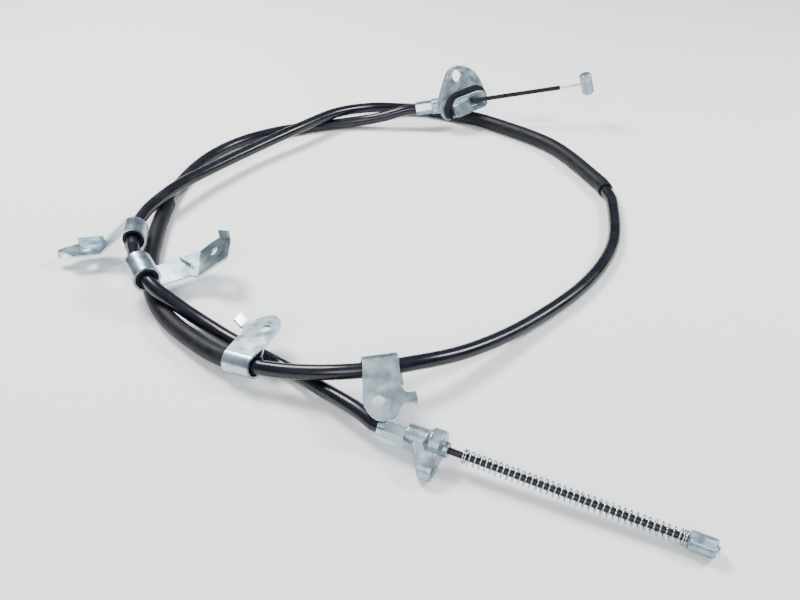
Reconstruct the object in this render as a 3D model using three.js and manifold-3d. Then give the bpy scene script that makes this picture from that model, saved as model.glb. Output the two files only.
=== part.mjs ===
// A parking brake cable: a steel inner wire in a long black conduit, with four clips on the
// conduit, a flanged front outlet with a barrel nipple on the wire, and a cast rear housing
// with a return spring and an end fitting. Millimetres, +Z up, lying on the floor at z = 0.
import * as THREE from 'three';
import { mergeVertices } from 'three/addons/utils/BufferGeometryUtils.js';
import Module from 'manifold-3d';

const wasm = await Module();
wasm.setup();

// Wire and conduit
const strandDia = 2.7;
const coatWall = 0.4;
const linerWall = 0.5;
const armourWall = 0.6;
const jacketDia = 10;
const layerGap = 0.33;
const tubeSides = 8;
const stationStep = 34;

// Protective sleeves over the conduit, by distance from the front end of the conduit
const sleeveWall = 1.2;
const upperSleeveStart = 996;
const upperSleeveEnd = 1229;
const leftSleeveStart = 323;
const leftSleeveEnd = 575;

// Front outlet: places along its axis are measured from the conduit's end, forwards
const frontFace = { x: 99.3, y: 238.4, z: 26.2 };
const frontAim = { x: 121.4, y: 7, z: 16.1 };
const frontFaceAt = 34.5;
const frontFerruleDia = 13.2;
const frontGripLength = 14;
const frontShoulder = 1.6;
const frontSpigotDia = 9;
const frontSpigotLength = 10;
const frontSocketDia = 15;
const frontWireTail = 2;

// Flange plate of the outlet, in its own plane: along the boss, and up from the wire
const plateNormal = { x: 0.49, y: -0.78, z: 0.39 };
const plateAlong = { x: 0.824, y: 0.56, z: 0.085 };
const plateThickness = 4;
const plateHoleDia = 11.5;
const plateHoleRise = 26.6;
const plateOutline = [
  [-24.5, -11.6, 4], [22.5, -11.6, 3], [26.5, -4, 4], [27.3, 6, 5], [24.9, 17, 5], [19.7, 26.7, 5],
  [10, 34.2, 5], [0.7, 36.6, 4], [-8, 34.4, 4], [-17, 24, 2], [-25, 13.7, 5], [-28, 6, 4],
  [-28, -4, 4],
];
const bossHeight = 5;
const lobeHeight = 8;
const lobeLength = 20;
const bossBack = 18;
const bossNose = 22;
const bossFoot = 11.4;
const bossHead = 6.5;
const bossTroughDia = 8;
const sealHeight = 2.4;
const sealWidth = 6;

// Barrel nipple and the wire that carries it
const nippleDia = 12;
const nippleLength = 21;
const nippleChamfer = 1.4;
const nippleLean = 10;
const nippleAt = 156.8;
const frontCoatEnd = 130;

// Rear housing: places along its axis are measured from the conduit's end, rearwards
const rearEnd = { x: 34.5, y: -190, z: 11.8 };
const rearAim = { x: 165.1, y: -76, z: -6.2 };
const rearGripLength = 12;
const rearFerruleDia = 12.4;
const rearRingLength = 4;
const rearShoulder = 5.5;
const rearSpigotDia = 8.6;
const rearSpigotLength = 10;
const barrelDia = 15.6;
const coneLength = 3;
const discStart = 21;
const discThickness = 7.6;
const discDia = 20.4;
const lugReach = 15.4;
const lugRadius = 6.3;
const lugDrop = 16;
const lugWebStart = 12;
const lugHoleDia = 7;
const collarDia = 9.6;
const collarLength = 3.4;
const rearWireStart = 27.5;

// Return spring and end fitting on the rear wire
const springDia = 9;
const springWireDia = 1.2;
const springStart = 40;
const springTurns = 40;
const springStepsPerTurn = 7;
const springSides = 4;
const endFittingDia = 11;
const endFittingLength = 14.6;
const endFittingStart = 167.6;
const endFittingBore = 10;
const endFittingChamfer = 0.8;
const endNubDia = 3.4;
const endNubLength = 1.4;
const crimpRidge = 1.2;
const endCrimpTurn = -60;

// Clips: rolled sheet steel, placed by distance from the front end. A clip's own directions
// are out along its plate (x), along the conduit (y), and away from it through the plate (z).
const sheet = 1.6;
const rollClearance = 0.5;
const leafLength = 7;
const clipHoleDia = 7.5;
const bushInset = 0.5;
const ringSteps = 16;
const clips = {
  upper: { at: 1611, lean: 0, side: 1, width: 21, bush: 2.7, hole: [37, 1] },
  crossing: { at: 1668, lean: 180, side: 1, width: 22, bush: 2.7, hole: [2.2, 15] },
  lower: { at: 567, lean: 0, side: -1, width: 21, bush: 0, hole: [27, -0.7] },
  middle: { at: 660.5, lean: 14, side: 1, width: 22.6, bush: 1.3, hole: [27.6, -5.6] },
};
const upperArmSlope = 37;
const upperPadDrop = 9;
const upperPadStart = 26;
const upperPad = [
  [upperPadStart - 1, -10.5], [44, -10.5, 4], [58, -4, 2], [59, 1, 2], [52, 3, 4], [46, 10.5, 2],
  [upperPadStart - 1, 10.5],
];
const upperLip = { from: 25, length: 19, height: 5.5 };
const upperHook = { x: 58, y: -1.5, width: 5, drop: 5 };
const crossingArm = [[0, -11], [47.5, -13.5, 1], [36, 15, 2], [30, 11], [0, 11]];
const crossingRise = 37.5;
const crossingBendAt = { x: 41.6, y: 0.7 };
const crossingBendTurn = -66.4;
const crossingPad = [[-15.2, -0.4], [15, -0.4, 2], [16, 12, 8], [14.5, 21], [4, 31, 1], [-17, 28, 4]];
const crossingHook = { x: 9, y: 25.4, turn: -44, lean: 40, length: 14, height: 6.5 };
const crossingTab = { x: 33.2, y: -4.8, turn: -19, length: 12, height: 4 };
const lowerPad = [
  [-1, -10.5], [27, -11, 6], [38, -7, 8], [42.5, 3, 8], [36, 10.5, 4], [32, 12.5, 4],
  [31, 18], [23.5, 18], [22.5, 13, 4], [-1, 10.5],
];
const lowerHook = { x: 27.2, y: 17.4, width: 7.5, length: 7, slope: 50 };
const middlePad = [
  [-1, -11.3], [31, -16, 9], [42, -9, 11], [41, 3, 9], [31.5, 8.5, 3], [31.6, 16.5],
  [25.2, 17.5], [24.8, 10.6, 3], [19.5, 9.4, 4], [-1, 11.3],
];
const middleTabEnd = { x: 28.4, y: 16.4, width: 6.4, drop: 4 };

// The conduit's route across the floor between its two fittings, chosen point by point
const routePoints = [
  [17.4, 234.1, 12], [-6.6, 234.1, 7.5], [-44.6, 228.1, 5.2], [-83.6, 216.1, 5.2], [-119.6, 193.1, 5.2],
  [-144.6, 160.1, 5.2], [-159.1, 118.1, 5.4], [-162.6, 74.1, 6.8], [-160.6, 24.1, 6.8], [-152.6, -26.9, 6.8],
  [-132.6, -71.9, 6.8], [-97.1, -109.9, 9], [-66.6, -130.9, 12.5], [-33.6, -143.9, 17.5], [4.4, -148.9, 22],
  [41.4, -141.9, 22], [81.4, -119.9, 14], [125.4, -83.9, 7], [173.4, -35.9, 5.2], [204.4, 16.1, 5.2],
  [216.4, 73.1, 5.7], [215.4, 96.1, 6.8], [209.4, 119.1, 6.8], [179.4, 183.1, 6.8], [125.4, 232.1, 6.8],
  [96.4, 248.1, 6.8], [66.4, 262.1, 6.8], [35.4, 266.1, 7], [4.4, 258.1, 11], [-28.6, 236.1, 15.5],
  [-61.6, 201.1, 16.5], [-99.6, 162.1, 15], [-133.6, 119.1, 16], [-154.1, 86.1, 18.3], [-168.1, 55.6, 18.3],
  [-172.6, 33.6, 18.5], [-171.6, 10.1, 20.5], [-163.6, -18.9, 23.5], [-150.6, -45.9, 24.9], [-138.6, -61.4, 21.3],
  [-126.1, -69.4, 16.5], [-111.1, -78.4, 11], [-96.1, -87.9, 7.5], [-78.6, -100.4, 5.7], [-36.6, -129.9, 5.2],
  [-14.8, -150.5, 9.5], [1.9, -166.2, 12.5], [11.9, -175.2, 13],
];

const zinc = new THREE.MeshStandardMaterial({ color: 0xc3ccd4, roughness: 0.3, metalness: 0.95 });
const castZinc = new THREE.MeshStandardMaterial({ color: 0xa9b3bb, roughness: 0.48, metalness: 0.85 });
const steelWire = new THREE.MeshStandardMaterial({ color: 0xb9bec4, roughness: 0.35, metalness: 0.9 });
const springSteel = new THREE.MeshStandardMaterial({ color: 0xb4bac0, roughness: 0.28, metalness: 0.95 });
const blackJacket = new THREE.MeshStandardMaterial({ color: 0x0b0c12, roughness: 0.28 });
const blackRubber = new THREE.MeshStandardMaterial({ color: 0x14161a, roughness: 0.75 });
const whiteLiner = new THREE.MeshStandardMaterial({ color: 0xd9d9d2, roughness: 0.6 });
const wireCoat = new THREE.MeshStandardMaterial({ color: 0x17141b, roughness: 0.35 });

// Radii of the nested layers, from the strand outwards
const strandRadius = strandDia / 2;
const coatInner = strandRadius + layerGap;
const coatRadius = coatInner + coatWall;
const linerInner = coatRadius + layerGap;
const linerRadius = linerInner + linerWall;
const armourInner = linerRadius + layerGap;
const armourRadius = armourInner + armourWall;
const jacketInner = armourRadius + layerGap;
const jacketRadius = jacketDia / 2;
const sleeveInner = jacketRadius + layerGap;
const sleeveRadius = sleeveInner + sleeveWall;

const vector = (p) => new THREE.Vector3(p.x, p.y, p.z);
const direction = (p) => vector(p).normalize();

// Solids are joined and cut as closed meshes with shared vertices
function solid(geometry) {
  const bare = geometry.clone();
  bare.deleteAttribute('normal');
  bare.deleteAttribute('uv');
  const merged = mergeVertices(bare, 1e-5);
  return new wasm.Manifold(new wasm.Mesh({
    numProp: 3,
    vertProperties: new Float32Array(merged.attributes.position.array),
    triVerts: new Uint32Array(merged.index.array),
  }));
}

function geometryOf(body) {
  const data = body.getMesh();
  const geometry = new THREE.BufferGeometry();
  geometry.setAttribute('position', new THREE.BufferAttribute(new Float32Array(data.vertProperties), 3));
  geometry.setIndex(new THREE.BufferAttribute(new Uint32Array(data.triVerts), 1));
  geometry.computeVertexNormals();
  return geometry;
}

function moved(geometry, x, y, z) {
  return geometry.clone().translate(x, y, z);
}

const cable = new THREE.Group();

function addMesh(name, geometry, material, frame) {
  const mesh = new THREE.Mesh(geometry, material);
  mesh.name = name;
  if (frame) {
    frame.decompose(mesh.position, mesh.quaternion, mesh.scale);
  }
  cable.add(mesh);
  return mesh;
}

// A frame at a point, from its local X and Z directions
function frameOf(origin, xAxis, zAxis) {
  const z = zAxis.clone().normalize();
  const x = xAxis.clone().addScaledVector(z, -xAxis.dot(z)).normalize();
  const y = new THREE.Vector3().crossVectors(z, x);
  return new THREE.Matrix4().makeBasis(x, y, z).setPosition(origin);
}

// Turned shapes run along local Z, and each section is a pair of distance and radius
function turned(sections, sides = 20, phase = 0) {
  const profile = [new THREE.Vector2(0, sections[0][0])];
  for (const [at, radius] of sections) {
    profile.push(new THREE.Vector2(radius, at));
  }
  profile.push(new THREE.Vector2(0, sections[sections.length - 1][0]));
  return new THREE.LatheGeometry(profile, sides, phase).rotateX(Math.PI / 2);
}

// A round or many-sided rod from one distance to another along local Z
function rod(radius, from, to, sides = 20, phase = 0) {
  const shape = new THREE.Shape();
  for (let i = 0; i < sides; i += 1) {
    const angle = phase + (2 * Math.PI * i) / sides;
    const x = radius * Math.cos(angle);
    const y = radius * Math.sin(angle);
    if (i === 0) {
      shape.moveTo(x, y);
    } else {
      shape.lineTo(x, y);
    }
  }
  const geometry = new THREE.ExtrudeGeometry(shape, { depth: to - from, bevelEnabled: false });
  return geometry.translate(0, 0, from);
}

// A bore that clears a rod of the given radius on every side
function bore(radius, from, to, sides = 16) {
  return rod(radius / Math.cos(Math.PI / sides), from, to, sides, Math.PI / sides);
}

// A plate with a straight-sided or curved outline, from z = 0 up to its thickness
function plate(shape, thickness, curveSegments = 6) {
  return new THREE.ExtrudeGeometry(shape, { depth: thickness, bevelEnabled: false, curveSegments });
}

// An outline from points, where a third number rounds that corner
function outline(points) {
  const shape = new THREE.Shape();
  points.forEach(([x, y, rounding = 0], i) => {
    const before = points[(i + points.length - 1) % points.length];
    const after = points[(i + 1) % points.length];
    const corner = new THREE.Vector2(x, y);
    const back = new THREE.Vector2(before[0] - x, before[1] - y);
    const ahead = new THREE.Vector2(after[0] - x, after[1] - y);
    const radius = Math.min(rounding, 0.48 * back.length(), 0.48 * ahead.length());
    const start = corner.clone().addScaledVector(back.normalize(), radius);
    const end = corner.clone().addScaledVector(ahead.normalize(), radius);
    if (i === 0) {
      shape.moveTo(start.x, start.y);
    } else {
      shape.lineTo(start.x, start.y);
    }
    if (radius > 0) {
      shape.quadraticCurveTo(x, y, end.x, end.y);
    }
  });
  return shape;
}

// The two fittings' axes, with their ends of the conduit
const frontAxis = direction(frontAim);
const rearAxis = direction(rearAim);
const along = (origin, axis, distance) => origin.clone().addScaledVector(axis, distance);
const conduitFront = along(vector(frontFace), frontAxis, -frontFaceAt);
const conduitRear = vector(rearEnd);
const up = new THREE.Vector3(0, 0, 1);
const frontFrame = frameOf(conduitFront, up, frontAxis);
const rearFrame = frameOf(conduitRear, up, rearAxis);

const frontLead = 12;
const rearLead = 4;
const route = new THREE.CatmullRomCurve3([
  conduitFront,
  along(conduitFront, frontAxis, -frontGripLength),
  along(conduitFront, frontAxis, -frontGripLength - frontLead),
  ...routePoints.map(([x, y, z]) => new THREE.Vector3(x, y, z)),
  along(conduitRear, rearAxis, -rearGripLength - rearLead),
  along(conduitRear, rearAxis, -rearGripLength),
  conduitRear,
], false, 'catmullrom', 0.5);
route.arcLengthDivisions = 1200;
const routeLength = route.getLength();

// The conduit runs through stations. It is straight through each clip and at a sleeve's ends.
const clipEnds = (clip) => [clip.at - clip.width / 2 - 1, clip.at + clip.width / 2 + 1];
const stationMarks = [0, frontGripLength, routeLength - rearGripLength, routeLength];
for (const clip of Object.values(clips)) {
  stationMarks.push(...clipEnds(clip));
}
for (const mark of [upperSleeveStart, upperSleeveEnd, leftSleeveStart, leftSleeveEnd]) {
  stationMarks.push(mark);
}

function stationList(marks) {
  const sorted = [...new Set(marks)].sort((a, b) => a - b);
  const list = [];
  sorted.forEach((mark, i) => {
    list.push(mark);
    const next = sorted[i + 1];
    if (next !== undefined) {
      const count = Math.max(1, Math.round((next - mark) / stationStep));
      for (let k = 1; k < count; k += 1) {
        list.push(mark + ((next - mark) * k) / count);
      }
    }
  });
  return list;
}
const stations = stationList(stationMarks);

// A path through chosen stations of the route, whose sections all keep the same side up
class StationPath extends THREE.Curve {
  constructor(marks) {
    super();
    this.marks = marks;
    this.points = marks.map((mark) => route.getPointAt(mark / routeLength));
  }

  getPoint(t, target = new THREE.Vector3()) {
    const place = t * (this.points.length - 1);
    const i = Math.min(Math.floor(place + 1e-9), this.points.length - 2);
    return target.lerpVectors(this.points[i], this.points[i + 1], place - i);
  }

  getPointAt(u, target) {
    return this.getPoint(u, target);
  }

  computeFrenetFrames(segments) {
    const frames = { tangents: [], normals: [], binormals: [] };
    for (let i = 0; i <= segments; i += 1) {
      const tangent = route.getTangentAt(this.marks[i] / routeLength);
      const normal = up.clone().addScaledVector(tangent, -up.dot(tangent)).normalize();
      frames.tangents.push(tangent);
      frames.normals.push(normal);
      frames.binormals.push(new THREE.Vector3().crossVectors(tangent, normal));
    }
    return frames;
  }
}

function ringShape(outer, inner, sides = tubeSides) {
  const shape = new THREE.Shape();
  const hole = new THREE.Path();
  for (let i = 0; i < sides; i += 1) {
    const angle = (2 * Math.PI * i) / sides;
    const c = Math.cos(angle);
    const s = Math.sin(angle);
    if (i === 0) {
      shape.moveTo(outer * c, outer * s);
      hole.moveTo(inner * c, inner * s);
    } else {
      shape.lineTo(outer * c, outer * s);
      hole.lineTo(inner * c, inner * s);
    }
  }
  if (inner > 0) {
    shape.holes.push(hole);
  }
  return shape;
}

function tubeAlong(outer, inner, from, to) {
  const marks = stations.filter((mark) => mark > from + 0.5 && mark < to - 0.5);
  const path = new StationPath([from, ...marks, to]);
  return new THREE.ExtrudeGeometry(ringShape(outer, inner), {
    steps: path.marks.length - 1,
    extrudePath: path,
  });
}

// Conduit layers and sleeves
const coreEnd = routeLength - 1;
addMesh('conduit_jacket', tubeAlong(jacketRadius, jacketInner, 0, routeLength), blackJacket);
addMesh('conduit_armour', tubeAlong(armourRadius, armourInner, 0, routeLength), steelWire);
addMesh('conduit_liner', tubeAlong(linerRadius, linerInner, 0, routeLength), whiteLiner);
addMesh('inner_wire_core', tubeAlong(coatRadius, 0, 1, coreEnd), wireCoat);
addMesh('upper_sleeve', tubeAlong(sleeveRadius, sleeveInner, upperSleeveStart, upperSleeveEnd), blackRubber);
addMesh('left_sleeve', tubeAlong(sleeveRadius, sleeveInner, leftSleeveStart, leftSleeveEnd), blackRubber);

// Front ferrule: a hex crimp on the conduit and a round spigot in the flange
const wireClearance = coatRadius + layerGap;
const frontShoulderEnd = frontShoulder + frontSpigotLength;
const frontFerrule = solid(rod(frontFerruleDia / 2, -frontGripLength, frontShoulder, 6, Math.PI / 6))
  .add(solid(rod(frontSpigotDia / 2, 0, frontShoulderEnd)))
  .subtract(solid(bore(jacketRadius + layerGap, -frontGripLength - 1, layerGap)))
  .subtract(solid(bore(wireClearance, 0, frontShoulderEnd + 1)));
addMesh('front_ferrule', geometryOf(frontFerrule), zinc, frontFrame);

// Front flange: a cast plate across the wire at a slant, with a raised boss and a rear socket
const plateFrame = frameOf(vector(frontFace), direction(plateAlong), direction(plateNormal));
const frontInPlate = plateFrame.clone().invert().multiply(frontFrame);
const inPlate = (geometry) => geometry.applyMatrix4(frontInPlate);
const bossOutline = outline([
  [-bossBack, -bossFoot, 6],
  [bossNose, -bossFoot, 3],
  [bossNose + 2, bossHead / 2, 3],
  [bossNose - 6, bossHead, 4],
  [-bossBack + 6, bossHead, 4],
  [-bossBack, 0, 4],
]);
const lobeOutline = outline([
  [-bossBack, -bossFoot, 6],
  [lobeLength - bossBack, -bossFoot, 4],
  [lobeLength - bossBack, bossHead - 3, 3],
  [-bossBack, bossHead - 5, 5],
]);
const socketStart = frontShoulder + layerGap;
const frontBlank = new THREE.BoxGeometry(200, 200, 100).translate(0, 0, 50);
const flange = solid(inPlate(rod(frontSocketDia / 2, socketStart, frontFaceAt + 20)))
  .subtract(solid(frontBlank))
  .add(solid(moved(plate(outline(plateOutline), plateThickness), 0, 0, -plateThickness)))
  .add(solid(moved(plate(bossOutline, bossHeight + 1), 0, 0, -1)))
  .add(solid(moved(plate(lobeOutline, lobeHeight + 1), 0, 0, -1)))
  .subtract(solid(inPlate(bore(frontSpigotDia / 2 + layerGap, socketStart - 1, frontShoulderEnd + layerGap))))
  .subtract(solid(inPlate(bore(wireClearance, frontShoulderEnd, frontFaceAt + 40))))
  .subtract(solid(inPlate(rod(bossTroughDia / 2, frontFaceAt + 3, frontFaceAt + 40))))
  .subtract(solid(moved(rod(plateHoleDia / 2, -plateThickness - 1, 1), 0, plateHoleRise, 0)));
addMesh('front_flange', geometryOf(flange), castZinc, plateFrame);

// Rubber seal around the boss, open along its foot
const sealClear = 0.35;
const sealOuter = outline([
  [-bossBack - sealWidth - sealClear, -bossFoot, 6],
  [bossNose + sealWidth - 3, -bossFoot, 3],
  [bossNose + sealWidth - 1, bossHead - 2, 8],
  [bossNose - 4, bossHead + sealWidth, 8],
  [-bossBack + 4, bossHead + sealWidth, 10],
  [-bossBack - sealWidth - sealClear, 1, 8],
]);
const sealInner = outline([
  [-bossBack - sealClear, -bossFoot - 5],
  [bossNose + 2 + sealClear, -bossFoot - 5],
  [bossNose + 2 + sealClear, bossHead / 2 + sealClear, 3],
  [bossNose - 6, bossHead + sealClear, 3],
  [-bossBack + 6, bossHead + sealClear, 4],
  [-bossBack - sealClear, 0, 3],
]);
const seal = solid(moved(plate(sealOuter, sealHeight), 0, 0, layerGap))
  .subtract(solid(moved(plate(sealInner, sealHeight + 4), 0, 0, -1)));
addMesh('front_seal', geometryOf(seal), blackRubber, plateFrame);

// The wire's front end: coated where it runs in the outlet, bare at the nipple
const frontStrand = solid(rod(strandRadius, frontWireTail, nippleAt, tubeSides));
addMesh('front_wire_strand', geometryOf(frontStrand), steelWire, frontFrame);
const frontCoat = solid(rod(coatRadius, frontWireTail, frontCoatEnd, tubeSides))
  .subtract(solid(rod(coatInner, frontWireTail - 1, frontCoatEnd + 1, tubeSides)));
addMesh('front_wire_coat', geometryOf(frontCoat), wireCoat, frontFrame);
const nippleFrame = frameOf(along(conduitFront, frontAxis, nippleAt), frontAxis,
  up.clone().addScaledVector(frontAxis, -up.dot(frontAxis)));
const nippleHalf = nippleLength / 2;
const nippleBore = bore(strandRadius + layerGap, -nippleDia, layerGap).rotateY(Math.PI / 2);
const nipple = solid(turned([
  [-nippleHalf, nippleDia / 2 - nippleChamfer],
  [-nippleHalf + nippleChamfer, nippleDia / 2],
  [nippleHalf - nippleChamfer, nippleDia / 2],
  [nippleHalf, nippleDia / 2 - nippleChamfer],
]).rotateY(-THREE.MathUtils.degToRad(nippleLean))).subtract(solid(nippleBore));
addMesh('barrel_nipple', geometryOf(nipple), castZinc, nippleFrame);

// Rear ferrule: a plain ring, a hex crimp and a spigot in the housing
const rearSpigotEnd = rearShoulder + rearSpigotLength;
const rearFerrule = solid(rod(rearFerruleDia / 2 - 0.4, -rearGripLength, rearShoulder))
  .add(solid(rod(rearFerruleDia / 2 + 0.5, rearRingLength - rearGripLength, rearShoulder, 6)))
  .add(solid(rod(rearSpigotDia / 2, 0, rearSpigotEnd)))
  .subtract(solid(bore(jacketRadius + layerGap, -rearGripLength - 1, layerGap)))
  .subtract(solid(bore(wireClearance, 0, rearSpigotEnd + 1)));
addMesh('rear_ferrule', geometryOf(rearFerrule), zinc, rearFrame);

// Rear housing: barrel, disc and bolt lug cast in one
const barrelStart = rearShoulder + layerGap;
const discEnd = discStart + discThickness;
const collarEnd = discEnd + collarLength;
const lugTip = lugReach + lugRadius;
const lugSide = outline([
  [0, lugWebStart], [barrelDia / 2 - 2, lugWebStart], [lugTip, discStart], [lugTip, discEnd],
  [0, discEnd],
]);
const lugPlan = new THREE.Shape();
lugPlan.moveTo(-lugRadius, 0);
lugPlan.lineTo(lugRadius, 0);
lugPlan.lineTo(lugRadius, lugReach);
lugPlan.absarc(0, lugReach, lugRadius, 0, Math.PI, false);
lugPlan.lineTo(-lugRadius, 0);
const sideToFrame = new THREE.Matrix4().makeBasis(
  new THREE.Vector3(0, 1, 0), new THREE.Vector3(0, 0, 1), new THREE.Vector3(1, 0, 0));
const lugWeb = moved(plate(lugSide, 2 * lugRadius + 2), 0, 0, -lugRadius - 1).applyMatrix4(sideToFrame);
const lugTurn = THREE.MathUtils.degToRad(lugDrop);
const lugHole = rod(lugHoleDia / 2, 0, discEnd + 10, 16).translate(0, lugReach, 0);
const lug = solid(lugWeb).intersect(solid(plate(lugPlan, discEnd + 5, 8))).subtract(solid(lugHole));
const housing = solid(rod(barrelDia / 2, barrelStart, discStart))
  .add(solid(turned([
    [discStart - coneLength, barrelDia / 2 - 0.2],
    [discStart, discDia / 2],
    [discEnd - 1, discDia / 2],
    [discEnd, discDia / 2 - 1],
  ], 24)))
  .add(solid(rod(collarDia / 2, discEnd - 1, collarEnd)))
  .add(solid(geometryOf(lug).rotateZ(lugTurn)))
  .subtract(solid(rod(lugHoleDia / 2, 0, discEnd + 10, 16).translate(0, lugReach, 0).rotateZ(lugTurn)))
  .subtract(solid(bore(rearSpigotDia / 2 + layerGap, barrelStart - 1, rearSpigotEnd + layerGap)))
  .subtract(solid(bore(wireClearance, rearSpigotEnd, collarEnd + 1)));
addMesh('rear_housing', geometryOf(housing), castZinc, rearFrame);

// The wire's rear end: coated up to the end fitting, and gripped in its bore
const endFittingEnd = endFittingStart + endFittingLength;
const rearStrandEnd = endFittingStart + endFittingBore - layerGap;
const rearCoatEnd = endFittingStart - layerGap;
addMesh('rear_wire_strand', geometryOf(solid(rod(strandRadius, rearWireStart, rearStrandEnd, tubeSides))),
  steelWire, rearFrame);
const rearCoat = solid(rod(coatRadius, rearWireStart, rearCoatEnd, tubeSides))
  .subtract(solid(rod(coatInner, rearWireStart - 1, rearCoatEnd + 1, tubeSides)));
addMesh('rear_wire_coat', geometryOf(rearCoat), wireCoat, rearFrame);

// End fitting: a crimped barrel with a ridge along its side and a small nub on its end
const crimpTurn = THREE.MathUtils.degToRad(endCrimpTurn);
const crimp = new THREE.BoxGeometry(crimpRidge * 2, crimpRidge, endFittingLength - 3);
crimp.translate(0, endFittingDia / 2, (endFittingStart + endFittingEnd) / 2).rotateZ(crimpTurn);
const endFitting = solid(turned([
  [endFittingStart, endFittingDia / 2 - endFittingChamfer],
  [endFittingStart + endFittingChamfer, endFittingDia / 2],
  [endFittingEnd - endFittingChamfer, endFittingDia / 2],
  [endFittingEnd, endFittingDia / 2 - endFittingChamfer],
]))
  .add(solid(crimp))
  .add(solid(rod(endNubDia / 2, endFittingEnd - 1, endFittingEnd + endNubLength, 10)))
  .subtract(solid(bore(strandRadius + layerGap, endFittingStart - 1, endFittingStart + endFittingBore, 8)));
addMesh('end_fitting', geometryOf(endFitting), castZinc, rearFrame);

// Return spring: an open coil round the rear wire, from near the housing to the end fitting
class Coil extends THREE.Curve {
  getPoint(t, target = new THREE.Vector3()) {
    const angle = 2 * Math.PI * springTurns * t;
    const radius = (springDia - springWireDia) / 2;
    const start = springStart + springWireDia / 2;
    const end = endFittingStart - layerGap - springWireDia / 2;
    return target.set(radius * Math.cos(angle), radius * Math.sin(angle), start + (end - start) * t);
  }
}
const coil = new THREE.ExtrudeGeometry(ringShape(springWireDia / 2, 0, springSides), {
  steps: springTurns * springStepsPerTurn,
  extrudePath: new Coil(),
});
addMesh('return_spring', coil, springSteel, rearFrame);

// Clips. Each is a strip rolled into a ring round the conduit, with its plate tangent to the ring.
function clipFrame(clip) {
  const [before, after] = clipEnds(clip).map((mark) => route.getPointAt(mark / routeLength));
  const tangent = after.clone().sub(before).normalize();
  const out = new THREE.Vector3().crossVectors(tangent, up).multiplyScalar(clip.side);
  out.applyAxisAngle(tangent, THREE.MathUtils.degToRad(clip.lean));
  const away = new THREE.Vector3().crossVectors(out, tangent).multiplyScalar(clip.side);
  return frameOf(before.lerp(after, 0.5), out, away);
}

// The radius of the middle of a clip's sheet, round its bush or round the sleeve
function rollRadius(clip) {
  const held = clip.bush > 0 ? jacketRadius + layerGap + clip.bush : sleeveRadius;
  return held + rollClearance + sheet / 2;
}

// A strip of sheet bent along a line of points in x and z, centred on y = 0
function strip(line, width) {
  const sides = [[], []];
  line.forEach(([x, z], i) => {
    const [ax, az] = line[Math.max(0, i - 1)];
    const [bx, bz] = line[Math.min(line.length - 1, i + 1)];
    const back = new THREE.Vector2(x - ax, z - az).normalize();
    const ahead = new THREE.Vector2(bx - x, bz - z).normalize();
    const mid = back.clone().add(ahead).normalize();
    const straight = Math.max(0.5, i > 0 && i < line.length - 1 ? mid.dot(ahead) : 1);
    const reach = sheet / 2 / straight;
    sides[0].push([x - mid.y * reach, z + mid.x * reach]);
    sides[1].unshift([x + mid.y * reach, z - mid.x * reach]);
  });
  return moved(plate(outline([...sides[0], ...sides[1]]), width).rotateX(Math.PI / 2), 0, width / 2, 0);
}

// The rolled ring from its plate's tangent point round to the free end
function rollLine(radius, fromAngle, sweep) {
  const line = [];
  for (let i = 0; i <= ringSteps; i += 1) {
    const angle = THREE.MathUtils.degToRad(fromAngle + (sweep * i) / ringSteps);
    line.push([radius * Math.cos(angle), radius * Math.sin(angle)]);
  }
  return line;
}

// A flat pad of sheet whose middle lies at the given height
function pad(points, height) {
  return moved(plate(outline(points), sheet), 0, 0, height - sheet / 2);
}

function box(x, y, z, sizeX, sizeY, sizeZ) {
  return new THREE.BoxGeometry(sizeX, sizeY, sizeZ).translate(x, y, z);
}

function drill(hole, height) {
  return solid(rod(clipHoleDia / 2, height - 4, height + 4, 16).translate(hole[0], hole[1], 0));
}

function rolledClip(clip, padPoints) {
  const radius = rollRadius(clip);
  const line = rollLine(radius, 90, 284);
  const leafHeight = radius - sheet + 0.05;
  line.push([radius + 3.2, leafHeight], [radius + 3.2 + leafLength, leafHeight]);
  line.unshift([2, radius]);
  return solid(strip(line, clip.width)).add(solid(pad(padPoints, radius)));
}

// Middle clip: a rounded plate leaning down over the rear ferrule, with a tab bent down at its side
const middleRadius = rollRadius(clips.middle);
const middleClip = rolledClip(clips.middle, middlePad)
  .add(solid(box(middleTabEnd.x, middleTabEnd.y, middleRadius - middleTabEnd.drop / 2 + sheet / 2,
    middleTabEnd.width, sheet, middleTabEnd.drop)))
  .subtract(drill(clips.middle.hole, middleRadius));
addMesh('middle_clip', geometryOf(middleClip), zinc, clipFrame(clips.middle));

// Lower clip: a rounded plate on the far side, with a hook that curls up
const lowerRadius = rollRadius(clips.lower);
const hookTurn = THREE.MathUtils.degToRad(lowerHook.slope);
const lowerLeaf = box(0, lowerHook.length / 2, 0, lowerHook.width, lowerHook.length, sheet);
lowerLeaf.rotateX(hookTurn).translate(lowerHook.x, lowerHook.y, lowerRadius);
const lowerClip = rolledClip(clips.lower, lowerPad)
  .add(solid(lowerLeaf))
  .subtract(drill(clips.lower.hole, lowerRadius));
addMesh('lower_clip', geometryOf(lowerClip), zinc, clipFrame(clips.lower));

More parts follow.
